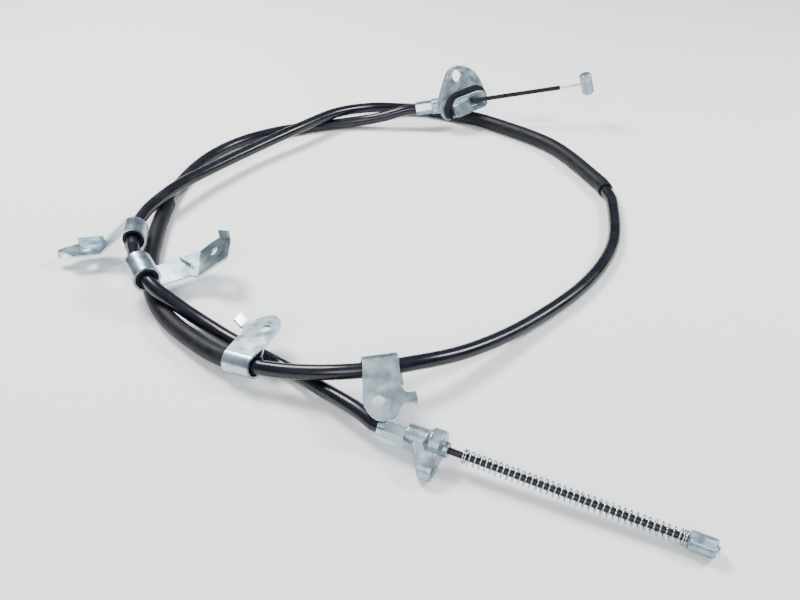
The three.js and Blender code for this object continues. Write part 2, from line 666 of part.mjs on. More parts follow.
// Upper clip: its arm slopes down to a pad with a standing lip and a small hook
const upperRadius = rollRadius(clips.upper);
const upperLine = rollLine(upperRadius, 90 - upperArmSlope, 270);
upperLine.unshift([upperPadStart + 2, -upperPadDrop], [upperPadStart, -upperPadDrop]);
const upperEdge = -clips.upper.width / 2 + sheet / 2;
const upperClip = solid(strip(upperLine, clips.upper.width))
  .add(solid(pad(upperPad, -upperPadDrop)))
  .add(solid(box(upperLip.from + upperLip.length / 2, upperEdge, -upperPadDrop + upperLip.height / 2,
    upperLip.length, sheet, upperLip.height)))
  .add(solid(box(upperHook.x, upperHook.y, -upperPadDrop - upperHook.drop / 2,
    sheet, upperHook.width, upperHook.drop)))
  .subtract(drill(clips.upper.hole, -upperPadDrop));
addMesh('upper_clip', geometryOf(upperClip), zinc, clipFrame(clips.upper));

// Crossing clip: a flat arm under the ring, then a second plate that rises from a slanted bend
const crossingRadius = rollRadius(clips.crossing);
const bendFrame = new THREE.Matrix4()
  .makeTranslation(crossingBendAt.x, crossingBendAt.y, crossingRadius)
  .multiply(new THREE.Matrix4().makeRotationZ(THREE.MathUtils.degToRad(crossingBendTurn)))
  .multiply(new THREE.Matrix4().makeRotationX(-THREE.MathUtils.degToRad(crossingRise)));
const crossingPlate = solid(pad(crossingPad, 0))
  .add(solid(box(0, 0, -crossingHook.height / 2, crossingHook.length, sheet, crossingHook.height)
    .rotateX(THREE.MathUtils.degToRad(crossingHook.lean))
    .rotateZ(THREE.MathUtils.degToRad(crossingHook.turn)).translate(crossingHook.x, crossingHook.y, 0)))
  .subtract(drill(clips.crossing.hole, 0));
const crossingLine = rollLine(crossingRadius, 90, 300);
crossingLine.unshift([2, crossingRadius]);
const crossingClip = solid(strip(crossingLine, clips.crossing.width))
  .add(solid(pad(crossingArm, crossingRadius)))
  .add(solid(geometryOf(crossingPlate).applyMatrix4(bendFrame)))
  .add(solid(box(0, 0, crossingRadius - crossingTab.height / 2, sheet, crossingTab.length,
    crossingTab.height).rotateZ(THREE.MathUtils.degToRad(crossingTab.turn))
    .translate(crossingTab.x, crossingTab.y, 0)));
addMesh('crossing_clip', geometryOf(crossingClip), zinc, clipFrame(clips.crossing));

// Rubber bushes between the conduit and three of the clips
for (const [name, clip] of Object.entries(clips)) {
  if (clip.bush > 0) {
    const half = clip.width / 2 - bushInset;
    const inner = jacketRadius + layerGap;
    addMesh(`${name}_bush`, tubeAlong(inner + clip.bush, inner, clip.at - half, clip.at + half), blackRubber);
  }
}

export default cable;
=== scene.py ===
"""Parking brake cable: the finish of every piece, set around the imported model. Lengths are metres."""
import math

import bmesh
import bpy
from mathutils import Matrix, Vector


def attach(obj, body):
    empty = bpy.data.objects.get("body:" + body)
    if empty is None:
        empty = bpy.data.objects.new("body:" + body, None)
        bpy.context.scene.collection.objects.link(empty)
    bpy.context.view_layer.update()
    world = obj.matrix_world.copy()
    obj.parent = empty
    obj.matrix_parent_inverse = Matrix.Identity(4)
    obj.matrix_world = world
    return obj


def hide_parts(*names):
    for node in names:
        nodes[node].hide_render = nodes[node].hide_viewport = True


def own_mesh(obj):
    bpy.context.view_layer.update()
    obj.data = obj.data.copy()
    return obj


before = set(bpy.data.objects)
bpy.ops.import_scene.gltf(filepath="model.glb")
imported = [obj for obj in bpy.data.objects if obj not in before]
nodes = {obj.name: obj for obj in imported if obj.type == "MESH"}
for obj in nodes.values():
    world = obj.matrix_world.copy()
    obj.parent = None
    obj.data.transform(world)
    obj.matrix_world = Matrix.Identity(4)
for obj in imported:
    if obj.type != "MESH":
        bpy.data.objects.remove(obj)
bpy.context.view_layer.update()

# The photograph's camera
CAMERA_PLACE = (0.0354, -0.5159, 0.365)
CAMERA_TILT = math.radians(52)
CAMERA_LENS = 36.27

# The two ends of the conduit, and their axes
FRONT_AXIS = Vector((121.4, 7, 16.1)).normalized()
FRONT_FACE = Vector((0.0993, 0.2384, 0.0262))
CONDUIT_FRONT = FRONT_FACE - FRONT_AXIS * 0.0345
FRONT_GRIP = 0.014
FRONT_LEAD = 0.012
REAR_AXIS = Vector((165.1, -76, -6.2)).normalized()
CONDUIT_REAR = Vector((0.0345, -0.19, 0.0118))
REAR_GRIP = 0.012
REAR_LEAD = 0.004

# The conduit's layers, by radius
STRAND_RADIUS = 0.00135
COAT_RADIUS = 0.00208
LINER_RADII = (0.00291, 0.00241)
ARMOUR_RADII = (0.00384, 0.00324)
CONDUIT_RADIUS = 0.005
SLEEVE_RADII = (0.00653, 0.00533)

# Distances along the conduit from its front end
UPPER_SLEEVE = (0.996, 1.229)
LEFT_SLEEVE = (0.323, 0.575)
CLIP_SPANS = [(0.567, 0.021), (0.6605, 0.0226), (1.611, 0.021), (1.668, 0.022)]
CLIP_MARGIN = 0.001
PATH_STEP = 0.004
ROUTE_POINTS = [
    (0.0174, 0.2341, 0.012), (-0.0066, 0.2341, 0.0075), (-0.0446, 0.2281, 0.0052),
    (-0.0836, 0.2161, 0.0052), (-0.1196, 0.1931, 0.0052), (-0.1446, 0.1601, 0.0052),
    (-0.1591, 0.1181, 0.0054), (-0.1626, 0.0741, 0.0068), (-0.1606, 0.0241, 0.0068),
    (-0.1526, -0.0269, 0.0068), (-0.1326, -0.0719, 0.0068), (-0.0971, -0.1099, 0.009),
    (-0.0666, -0.1309, 0.0125), (-0.0336, -0.1439, 0.0175), (0.0044, -0.1489, 0.022),
    (0.0414, -0.1419, 0.022), (0.0814, -0.1199, 0.014), (0.1254, -0.0839, 0.007),
    (0.1734, -0.0359, 0.0052), (0.2044, 0.0161, 0.0052), (0.2164, 0.0731, 0.0057),
    (0.2154, 0.0961, 0.0068), (0.2094, 0.1191, 0.0068), (0.1794, 0.1831, 0.0068),
    (0.1254, 0.2321, 0.0068), (0.0964, 0.2481, 0.0068), (0.0664, 0.2621, 0.0068),
    (0.0354, 0.2661, 0.007), (0.0044, 0.2581, 0.011), (-0.0286, 0.2361, 0.0155),
    (-0.0616, 0.2011, 0.0165), (-0.0996, 0.1621, 0.015), (-0.1336, 0.1191, 0.016),
    (-0.1541, 0.0861, 0.0183), (-0.1681, 0.0556, 0.0183), (-0.1726, 0.0336, 0.0185),
    (-0.1716, 0.0101, 0.0205), (-0.1636, -0.0189, 0.0235), (-0.1506, -0.0459, 0.0249),
    (-0.1386, -0.0614, 0.0213), (-0.1261, -0.0694, 0.0165), (-0.1111, -0.0784, 0.011),
    (-0.0961, -0.0879, 0.0075), (-0.0786, -0.1004, 0.0057), (-0.0366, -0.1299, 0.0052),
    (-0.0148, -0.1505, 0.0095), (0.0019, -0.1662, 0.0125), (0.0119, -0.1752, 0.013),
]

# Distances along the two end wires
FRONT_STRAND = (0.002, 0.1568)
FRONT_COAT = (0.002, 0.130)
REAR_STRAND = (0.0275, 0.17727)
REAR_COAT = (0.0275, 0.16727)
LAY_PITCH = 0.011
LAID_WIRES = 6

# Return spring: its place along the rear wire, its outer and wire radius, and its turns. At rest
# its foot stands off the housing, and it meets the housing at the end of the draw.
SPRING = (0.040, 0.1673)
SPRING_RADIUS = 0.0045
SPRING_WIRE = 0.0006
SPRING_TURNS = 40
CLOSED_TURNS = 2
CLOSED_PITCH = 2.2 * SPRING_WIRE

# Rubber bushes in the clips
THICK_BUSH = 0.0027
THIN_BUSH = 0.0013
BUSH_INSET = 0.0005
BUSH_LIP = 0.0005

# Edges: how far they are broken, and the turn in degrees past which one counts as an edge
BROKEN_EDGE = 0.0003
SHARP_ANGLE = 40
CRIMP_ANGLE = 25
TURNED_ANGLE = 30

# A solid's mesh: how near its split corners lie, and the turn under which two faces are one
MERGE_DISTANCE = 2e-6
FLAT_ANGLE = 1.5

# The studio: each light's place, width, power and colour. All three aim at the middle of the floor.
LIGHTS = {
    "key_light": ((-0.5, 0.5, 1.0), 0.45, 23, (1, 0.99, 0.97)),
    "side_light": ((0.95, 0.1, 0.8), 0.3, 13, (0.93, 0.97, 1)),
    "front_light": ((-0.2, -1.1, 0.9), 0.8, 13, (0.96, 0.98, 1)),
}
STUDIO_STRENGTH = 0.55
STUDIO_LOW = (0.04, 0.06, 0.09, 1)
STUDIO_HIGH = (0.95, 1.0, 1.0, 1)
STUDIO_HIGH_AT = 0.9
BACKDROP = (1.3, 1.32, 1.34, 1)
FLOOR_HALF = 30
FLOOR_COLOUR = (0.97, 0.975, 0.98, 1)
FLOOR_ROUGHNESS = 0.9

# Where the noise of a finish starts and stops changing its colour and its gloss
COLOUR_SPREAD = (0.32, 0.68)
GLOSS_SPREAD = (0.3, 0.7)
COAT_ROUGHNESS = 0.12


# Route of the conduit
def catmull_rom(points, per_span=16):
    """The smooth curve through the points, whose ends go on straight."""
    ring = [points[0] * 2 - points[1], *points, points[-1] * 2 - points[-2]]
    line = []
    for i in range(1, len(ring) - 2):
        before, start, end, after = ring[i - 1:i + 3]
        go, come = (end - before) / 2, (after - start) / 2
        for k in range(per_span):
            t = k / per_span
            bend = (end - start) * 3 - go * 2 - come
            turn = (start - end) * 2 + go + come
            line.append(start + go * t + bend * t ** 2 + turn * t ** 3)
    line.append(points[-1].copy())
    return line


def even_steps(line, step):
    """The line's points again, at even distances along it."""
    marks = [0.0]
    for a, b in zip(line, line[1:]):
        marks.append(marks[-1] + (b - a).length)
    count = round(marks[-1] / step)
    result = []
    place = 0
    for k in range(count + 1):
        at = marks[-1] * k / count
        while place < len(marks) - 2 and marks[place + 1] < at:
            place += 1
        share = (at - marks[place]) / (marks[place + 1] - marks[place])
        result.append(line[place].lerp(line[place + 1], share))
    return result


def straighten(path, at, width):
    """A clip holds the conduit straight: the points inside it move onto one chord."""
    first = round((at - width / 2 - CLIP_MARGIN) / PATH_STEP)
    last = round((at + width / 2 + CLIP_MARGIN) / PATH_STEP)
    for k in range(first, last + 1):
        path[k] = path[first].lerp(path[last], (k - first) / (last - first))


def conduit_path():
    lead_in = [CONDUIT_FRONT - FRONT_AXIS * d for d in (0, FRONT_GRIP, FRONT_GRIP + FRONT_LEAD)]
    lead_out = [CONDUIT_REAR - REAR_AXIS * d for d in (REAR_GRIP + REAR_LEAD, REAR_GRIP, 0)]
    path = even_steps(catmull_rom(lead_in + [Vector(p) for p in ROUTE_POINTS] + lead_out), PATH_STEP)
    for at, width in CLIP_SPANS:
        straighten(path, at, width)
    return path


def stretch(path, span):
    """The part of the path between two distances from its start."""
    return path[round(span[0] / PATH_STEP):round(span[1] / PATH_STEP) + 1]


# Camera, floor and light
def place_camera():
    data = bpy.data.cameras.new("camera")
    data.lens = CAMERA_LENS
    data.sensor_width = 36
    data.clip_start = 0.01
    camera = bpy.data.objects.new("camera", data)
    camera.location = CAMERA_PLACE
    camera.rotation_euler = (CAMERA_TILT, 0, 0)
    bpy.context.scene.collection.objects.link(camera)
    bpy.context.scene.camera = camera


def area_light(name, place, size, power, colour):
    data = bpy.data.lights.new(name, "AREA")
    data.shape = "DISK"
    data.size = size
    data.energy = power
    data.color = colour
    light = bpy.data.objects.new(name, data)
    light.location = place
    light.rotation_euler = (-Vector(place)).to_track_quat("-Z", "Y").to_euler()
    bpy.context.scene.collection.objects.link(light)


def socket_of(sockets, identifier):
    """The socket with this identifier, since a Mix node has several of one name."""
    return next(s for s in sockets if s.identifier == identifier)


def light_studio():
    """The lights, and a studio that shows dark to light in reflections and pale to the camera."""
    for name, values in LIGHTS.items():
        area_light(name, *values)
    world = bpy.data.worlds.new("studio")
    bpy.context.scene.world = world
    world.use_nodes = True
    tree = world.node_tree
    background = tree.nodes["Background"]
    background.inputs["Strength"].default_value = STUDIO_STRENGTH
    coordinates = tree.nodes.new("ShaderNodeTexCoord")
    parts = tree.nodes.new("ShaderNodeSeparateXYZ")
    ramp = tree.nodes.new("ShaderNodeValToRGB")
    ramp.color_ramp.elements[0].position = 0.0
    ramp.color_ramp.elements[0].color = STUDIO_LOW
    ramp.color_ramp.elements[1].position = STUDIO_HIGH_AT
    ramp.color_ramp.elements[1].color = STUDIO_HIGH
    tree.links.new(coordinates.outputs["Generated"], parts.inputs[0])
    tree.links.new(parts.outputs["Z"], ramp.inputs[0])
    seen = tree.nodes.new("ShaderNodeLightPath")
    sky = tree.nodes.new("ShaderNodeMix")
    sky.data_type = "RGBA"
    socket_of(sky.inputs, "B_Color").default_value = BACKDROP
    tree.links.new(seen.outputs["Is Camera Ray"], socket_of(sky.inputs, "Factor_Float"))
    tree.links.new(ramp.outputs["Color"], socket_of(sky.inputs, "A_Color"))
    tree.links.new(socket_of(sky.outputs, "Result_Color"), background.inputs["Color"])


def lay_floor():
    mesh = bpy.data.meshes.new("floor")
    corners = [(x * FLOOR_HALF, y * FLOOR_HALF, 0) for x, y in ((-1, -1), (1, -1), (1, 1), (-1, 1))]
    mesh.from_pydata(corners, [], [(0, 1, 2, 3)])
    floor = bpy.data.objects.new("floor", mesh)
    material = bpy.data.materials.new("pale_paper")
    material.use_nodes = True
    shader = material.node_tree.nodes["Principled BSDF"]
    shader.inputs["Base Color"].default_value = FLOOR_COLOUR
    shader.inputs["Roughness"].default_value = FLOOR_ROUGHNESS
    mesh.materials.append(material)
    bpy.context.scene.collection.objects.link(floor)


def maths(tree, kind, first, second):
    """A maths node's result, in either kind of tree. Each side is a socket or a number."""
    node = tree.nodes.new("ShaderNodeMath")
    node.operation = kind
    for socket, value in zip(node.inputs, (first, second)):
        if isinstance(value, (int, float)):
            socket.default_value = value
        else:
            tree.links.new(value, socket)
    return node.outputs[0]


# Shader effects that several finishes share
def shader_group(name, inputs, outputs):
    tree = bpy.data.node_groups.new(name, "ShaderNodeTree")
    for label, value in inputs:
        socket = tree.interface.new_socket(label, in_out="INPUT", socket_type="NodeSocketFloat")
        socket.default_value = value
    for label in outputs:
        tree.interface.new_socket(label, in_out="OUTPUT", socket_type="NodeSocketFloat")
    return tree, tree.nodes.new("NodeGroupInput"), tree.nodes.new("NodeGroupOutput")


def mottle_group():
    """Soft patches and fine speckle, as plating and castings have."""
    tree, given, result = shader_group(
        "mottle", [("Patch Scale", 90), ("Speckle Scale", 900)], ["Patches", "Speckle"])
    coordinates = tree.nodes.new("ShaderNodeTexCoord")
    for label, detail in (("Patch", 4), ("Speckle", 3)):
        noise = tree.nodes.new("ShaderNodeTexNoise")
        noise.inputs["Detail"].default_value = detail
        tree.links.new(coordinates.outputs["Object"], noise.inputs["Vector"])
        tree.links.new(given.outputs[label + " Scale"], noise.inputs["Scale"])
        tree.links.new(noise.outputs[0], result.inputs["Patches" if label == "Patch" else "Speckle"])
    return tree


def scratch_group():
    """Fine rolling and handling lines, drawn out along X."""
    tree, given, result = shader_group("handling_lines", [("Scale", 500), ("Draw Out", 0.06)], ["Height"])
    coordinates = tree.nodes.new("ShaderNodeTexCoord")
    parts = tree.nodes.new("ShaderNodeSeparateXYZ")
    joined = tree.nodes.new("ShaderNodeCombineXYZ")
    noise = tree.nodes.new("ShaderNodeTexNoise")
    noise.inputs["Detail"].default_value = 5
    tree.links.new(coordinates.outputs["Object"], parts.inputs[0])
    drawn = maths(tree, "MULTIPLY", parts.outputs["X"], given.outputs["Draw Out"])
    tree.links.new(drawn, joined.inputs["X"])
    tree.links.new(parts.outputs["Y"], joined.inputs["Y"])
    tree.links.new(parts.outputs["Z"], joined.inputs["Z"])
    tree.links.new(joined.outputs[0], noise.inputs["Vector"])
    tree.links.new(given.outputs["Scale"], noise.inputs["Scale"])
    tree.links.new(noise.outputs[0], result.inputs["Height"])
    return tree


mottle = mottle_group()
handling_lines = scratch_group()


def finish_material(name, dark, light, roughness, metal=0.0, patch=90, speckle=900, bump=0.2,
                    depth=0.00008, lines=0.0, coat=0.0, shine=0.5):
    """A finish whose colour and gloss drift between two values, with a fine surface over it."""
    material = bpy.data.materials.new(name)
    material.use_nodes = True
    tree = material.node_tree
    shader = tree.nodes["Principled BSDF"]
    shader.inputs["Metallic"].default_value = metal
    shader.inputs["Specular IOR Level"].default_value = shine
    shader.inputs["Coat Weight"].default_value = coat
    shader.inputs["Coat Roughness"].default_value = COAT_ROUGHNESS
    drift = tree.nodes.new("ShaderNodeGroup")
    drift.node_tree = mottle
    drift.inputs["Patch Scale"].default_value = patch
    drift.inputs["Speckle Scale"].default_value = speckle
    colours = tree.nodes.new("ShaderNodeValToRGB")
    for element, place, colour in zip(colours.color_ramp.elements, COLOUR_SPREAD, (dark, light)):
        element.position = place
        element.color = (*colour, 1)
    gloss = tree.nodes.new("ShaderNodeMapRange")
    for label, value in zip(("From Min", "From Max", "To Min", "To Max"), GLOSS_SPREAD + roughness):
        gloss.inputs[label].default_value = value
    surface = tree.nodes.new("ShaderNodeBump")
    surface.inputs["Strength"].default_value = bump
    surface.inputs["Distance"].default_value = depth
    tree.links.new(drift.outputs["Patches"], colours.inputs[0])
    tree.links.new(colours.outputs[0], shader.inputs["Base Color"])
    tree.links.new(drift.outputs["Patches"], gloss.inputs["Value"])
    tree.links.new(gloss.outputs[0], shader.inputs["Roughness"])
    tree.links.new(drift.outputs["Speckle"], surface.inputs["Height"])
    tree.links.new(surface.outputs[0], shader.inputs["Normal"])
    if lines:
        streaks = tree.nodes.new("ShaderNodeGroup")
        streaks.node_tree = handling_lines
        second = tree.nodes.new("ShaderNodeBump")
        second.inputs["Strength"].default_value = lines
        second.inputs["Distance"].default_value = depth
        tree.links.new(streaks.outputs["Height"], second.inputs["Height"])
        tree.links.new(surface.outputs[0], second.inputs["Normal"])
        tree.links.new(second.outputs[0], shader.inputs["Normal"])
    return material


finishes = {
    "zinc_plate": finish_material(
        "zinc_plate", (0.33, 0.43, 0.50), (0.56, 0.67, 0.75), (0.24, 0.38), metal=0.96, patch=110,
        speckle=1400, bump=0.1, lines=0.14),
    "cast_zinc": finish_material(
        "cast_zinc", (0.20, 0.26, 0.31), (0.42, 0.50, 0.56), (0.30, 0.46), metal=0.92, patch=160,
        speckle=1100, bump=0.5, depth=0.00016),
    "wire_steel": finish_material(
        "wire_steel", (0.60, 0.64, 0.68), (0.86, 0.88, 0.90), (0.30, 0.42), metal=0.95, patch=400),
    "spring_steel": finish_material(
        "spring_steel", (0.30, 0.35, 0.39), (0.62, 0.67, 0.71), (0.14, 0.26), metal=0.97, patch=300),
    "jacket_plastic": finish_material(
        "jacket_plastic", (0.002, 0.002, 0.006), (0.007, 0.007, 0.016), (0.20, 0.34), patch=60,
        speckle=420, bump=0.16, depth=0.0002, coat=0.12, shine=0.32),
    "black_rubber": finish_material(
        "black_rubber", (0.004, 0.004, 0.007), (0.011, 0.012, 0.018), (0.42, 0.60), patch=130,
        speckle=1500, bump=0.5, depth=0.00012, shine=0.22),
    "liner_plastic": finish_material(
        "liner_plastic", (0.66, 0.66, 0.61), (0.80, 0.80, 0.75), (0.4, 0.5), patch=80),
    "wire_coating": finish_material(
        "wire_coating", (0.004, 0.003, 0.006), (0.016, 0.012, 0.020), (0.24, 0.40), patch=220,
        speckle=900, bump=0.25, shine=0.3),
}


# Pieces
def add_piece(name, mesh, finish, body, *stands_for):
    mesh.materials.clear()
    mesh.materials.append(finishes[finish])
    mesh.name = name
    piece = bpy.data.objects.new(name, mesh)
    bpy.context.scene.collection.objects.link(piece)
    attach(piece, body)
    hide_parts(*stands_for)
    return piece


def settled(holder):
    """The holder's modified shape as a plain mesh. The holder is then deleted."""
    bpy.context.view_layer.update()
    evaluated = holder.evaluated_get(bpy.context.evaluated_depsgraph_get())
    mesh = bpy.data.meshes.new_from_object(evaluated)
    bpy.data.objects.remove(holder)
    return mesh


def merged_copy(node):
    """A copy of a solid's mesh with its split corners joined and its flat faces whole."""
    mesh = nodes[node].data.copy()
    work = bmesh.new()
    work.from_mesh(mesh)
    bmesh.ops.remove_doubles(work, verts=work.verts, dist=MERGE_DISTANCE)
    bmesh.ops.dissolve_limit(work, angle_limit=math.radians(FLAT_ANGLE), verts=work.verts, edges=work.edges)
    work.to_mesh(mesh)
    work.free()
    return mesh


def holder_of(name, data):
    holder = bpy.data.objects.new(name + "_holder", data)
    bpy.context.scene.collection.objects.link(holder)
    return holder


def pressed(node, finish, body, sharp_angle=SHARP_ANGLE):
    """A formed or turned piece: the solid with its sharp edges broken."""
    holder = holder_of(node, merged_copy(node))
    bevel = holder.modifiers.new("broken_edges", "BEVEL")
    bevel.width = BROKEN_EDGE
    bevel.segments = 2
    bevel.limit_method = "ANGLE"
    bevel.angle_limit = math.radians(sharp_angle)
    mesh = settled(holder)
    mesh.polygons.foreach_set("use_smooth", [True] * len(mesh.polygons))
    mesh.set_sharp_from_angle(angle=math.radians(sharp_angle))
    holder = holder_of(node, mesh)
    flats = holder.modifiers.new("flat_faces_stay_flat", "WEIGHTED_NORMAL")
    flats.weight = 50
    flats.keep_sharp = True
    return add_piece("finished_" + node, settled(holder), finish, body, node)


def moulded(node, finish, body, grain, rounds):
    """A cast or moulded piece: the solid with every edge and corner softly rounded."""
    holder = holder_of(node, merged_copy(node))
    skin = holder.modifiers.new("even_skin", "REMESH")
    skin.mode = "VOXEL"
    skin.voxel_size = grain
    soften = holder.modifiers.new("soft_edges", "SMOOTH")
    soften.factor = 0.5
    soften.iterations = rounds
    mesh = settled(holder)
    mesh.polygons.foreach_set("use_smooth", [True] * len(mesh.polygons))
    return add_piece("finished_" + node, mesh, finish, body, node)


# Geometry Nodes: what follows a path or repeats along an axis
def geometry_tree(name, numbers):
    tree = bpy.data.node_groups.new(name, "GeometryNodeTree")
    tree.interface.new_socket("Geometry", in_out="INPUT", socket_type="NodeSocketGeometry")
    for label, kind, value in numbers:
        socket = tree.interface.new_socket(label, in_out="INPUT", socket_type=kind)
        socket.default_value = value
    tree.interface.new_socket("Material", in_out="INPUT", socket_type="NodeSocketMaterial")
    tree.interface.new_socket("Geometry", in_out="OUTPUT", socket_type="NodeSocketGeometry")
    return tree, tree.nodes.new("NodeGroupInput"), tree.nodes.new("NodeGroupOutput")


def close_tree(tree, given, result, shape):
    """Ends a tree: smooth faces, real geometry and the piece's material."""
    smooth = tree.nodes.new("GeometryNodeSetShadeSmooth")
    real = tree.nodes.new("GeometryNodeRealizeInstances")
    paint = tree.nodes.new("GeometryNodeSetMaterial")
    tree.links.new(shape, real.inputs[0])
    tree.links.new(real.outputs[0], smooth.inputs["Geometry"])
    tree.links.new(smooth.outputs[0], paint.inputs["Geometry"])
    tree.links.new(given.outputs["Material"], paint.inputs["Material"])
    tree.links.new(paint.outputs[0], result.inputs[0])


def swept(tree, curve, radius, sides):
    """A round bar along a curve, with closed ends."""
    section = tree.nodes.new("GeometryNodeCurvePrimitiveCircle")
    sweep = tree.nodes.new("GeometryNodeCurveToMesh")
    sweep.inputs["Fill Caps"].default_value = True
    tree.links.new(radius, section.inputs["Radius"])
    tree.links.new(sides, section.inputs["Resolution"])
    tree.links.new(curve, sweep.inputs["Curve"])
    tree.links.new(section.outputs[0], sweep.inputs["Profile Curve"])
    return sweep.outputs[0]


def bar_tree():
    tree, given, result = geometry_tree("bar_on_path", [
        ("Radius", "NodeSocketFloat", 0.005), ("Sides", "NodeSocketInt", 28)])
    bar = swept(tree, given.outputs["Geometry"], given.outputs["Radius"], given.outputs["Sides"])
    close_tree(tree, given, result, bar)
    return tree


def helix(tree, given, radius):
    spiral = tree.nodes.new("GeometryNodeCurveSpiral")
    tree.links.new(given.outputs["Steps"], spiral.inputs["Resolution"])
    tree.links.new(given.outputs["Turns"], spiral.inputs["Rotations"])
    tree.links.new(given.outputs["Length"], spiral.inputs["Height"])
    tree.links.new(radius, spiral.inputs["Start Radius"])
    tree.links.new(radius, spiral.inputs["End Radius"])
    return spiral.outputs[0]


HELIX_NUMBERS = [
    ("Radius", "NodeSocketFloat", 0.004), ("Wire Radius", "NodeSocketFloat", 0.0006),
    ("Length", "NodeSocketFloat", 0.1), ("Turns", "NodeSocketFloat", 10.0),
    ("Steps", "NodeSocketInt", 20), ("Sides", "NodeSocketInt", 8)]


def coil_tree():
    """A spring whose first and last turns lie close together, as its ends are closed."""
    tree, given, result = geometry_tree(
        "wound_coil", HELIX_NUMBERS + [
            ("Closed Share", "NodeSocketFloat", 0.05), ("Closed Length", "NodeSocketFloat", 0.003)])
    turns = helix(tree, given, given.outputs["Radius"])
    along = tree.nodes.new("GeometryNodeSplineParameter").outputs["Factor"]
    share, closed = given.outputs["Closed Share"], given.outputs["Closed Length"]
    last_share = maths(tree, "SUBTRACT", 1.0, share)
    slope = maths(tree, "DIVIDE", closed, share)
    open_turns = tree.nodes.new("ShaderNodeMapRange")
    far_end = maths(tree, "SUBTRACT", given.outputs["Length"], closed)
    for label, value in (("Value", along), ("From Min", share), ("From Max", last_share),
                         ("To Min", closed), ("To Max", far_end)):
        tree.links.new(value, open_turns.inputs[label])
    first_turns = maths(tree, "SUBTRACT", maths(tree, "MINIMUM", along, share), share)
    last_turns = maths(tree, "SUBTRACT", maths(tree, "MAXIMUM", along, last_share), last_share)
    ends = maths(tree, "MULTIPLY", maths(tree, "ADD", first_turns, last_turns), slope)
    height = maths(tree, "ADD", open_turns.outputs[0], ends)
    place = tree.nodes.new("GeometryNodeInputPosition")
    parts = tree.nodes.new("ShaderNodeSeparateXYZ")
    moved = tree.nodes.new("ShaderNodeCombineXYZ")
    tree.links.new(place.outputs[0], parts.inputs[0])
    for axis in "XY":
        tree.links.new(parts.outputs[axis], moved.inputs[axis])
    tree.links.new(height, moved.inputs["Z"])
    spread = tree.nodes.new("GeometryNodeSetPosition")
    tree.links.new(turns, spread.inputs["Geometry"])
    tree.links.new(moved.outputs[0], spread.inputs["Position"])
    wire = swept(tree, spread.outputs[0], given.outputs["Wire Radius"], given.outputs["Sides"])
    close_tree(tree, given, result, wire)
    return tree


def strand_tree():
    """Wires laid round a straight middle wire."""
    tree, given, result = geometry_tree("laid_strand", HELIX_NUMBERS + [("Wires", "NodeSocketInt", 6)])
    wire = swept(tree, helix(tree, given, given.outputs["Radius"]),
                 given.outputs["Wire Radius"], given.outputs["Sides"])
    places = tree.nodes.new("GeometryNodePoints")
    tree.links.new(given.outputs["Wires"], places.inputs["Count"])
    share = maths(tree, "DIVIDE", math.tau, given.outputs["Wires"])
    index = tree.nodes.new("GeometryNodeInputIndex")
    turn = maths(tree, "MULTIPLY", index.outputs[0], share)
    angles = tree.nodes.new("ShaderNodeCombineXYZ")
    tree.links.new(turn, angles.inputs["Z"])
    copies = tree.nodes.new("GeometryNodeInstanceOnPoints")
    tree.links.new(places.outputs[0], copies.inputs["Points"])
    tree.links.new(wire, copies.inputs["Instance"])
    tree.links.new(angles.outputs[0], copies.inputs["Rotation"])
    top = tree.nodes.new("ShaderNodeCombineXYZ")
    tree.links.new(given.outputs["Length"], top.inputs["Z"])
    line = tree.nodes.new("GeometryNodeCurvePrimitiveLine")
    tree.links.new(top.outputs[0], line.inputs["End"])
    middle = swept(tree, line.outputs[0], given.outputs["Wire Radius"], given.outputs["Sides"])
    both = tree.nodes.new("GeometryNodeJoinGeometry")
    tree.links.new(copies.outputs[0], both.inputs[0])
    tree.links.new(middle, both.inputs[0])
    close_tree(tree, given, result, both.outputs[0])
    return tree


bar_on_path = bar_tree()
wound_coil = coil_tree()
laid_strand = strand_tree()


def grown(holder, tree, finish, **values):
    """The plain mesh that a tree makes on its holder."""
    modifier = holder.modifiers.new(tree.name, "NODES")
    modifier.node_group = tree
    values["Material"] = finishes[finish]
    for item in tree.interface.items_tree:
        label = item.name.replace(" ", "_")
        if item.in_out == "INPUT" and label in values:
            modifier[item.identifier] = values[label]
    mesh = settled(holder)
    work = bmesh.new()
    work.from_mesh(mesh)
    if work.calc_volume(signed=True) < 0:
        bmesh.ops.reverse_faces(work, faces=work.faces)
        work.to_mesh(mesh)
    work.free()
    return mesh


def along_axis(origin, axis, start):
    """The place of a piece that is made along +Z from its foot, at a distance along an axis."""
    turn = axis.to_track_quat("Z", "Y").to_matrix().to_4x4()
    return Matrix.Translation(origin + axis * start) @ turn


def bar_mesh(name, points, finish, radius, sides=28):
    curve = bpy.data.curves.new(name, "CURVE")
    curve.dimensions = "3D"
    spline = curve.splines.new("POLY")
    spline.points.add(len(points) - 1)
    for point, place in zip(spline.points, points):
        point.co = (*place, 1)
    return grown(holder_of(name, curve), bar_on_path, finish, Radius=radius, Sides=sides)


def wire_mesh(name, tree, place, finish, **values):
    mesh = grown(holder_of(name, bpy.data.meshes.new(name)), tree, finish, **values)
    mesh.transform(place)
    return mesh


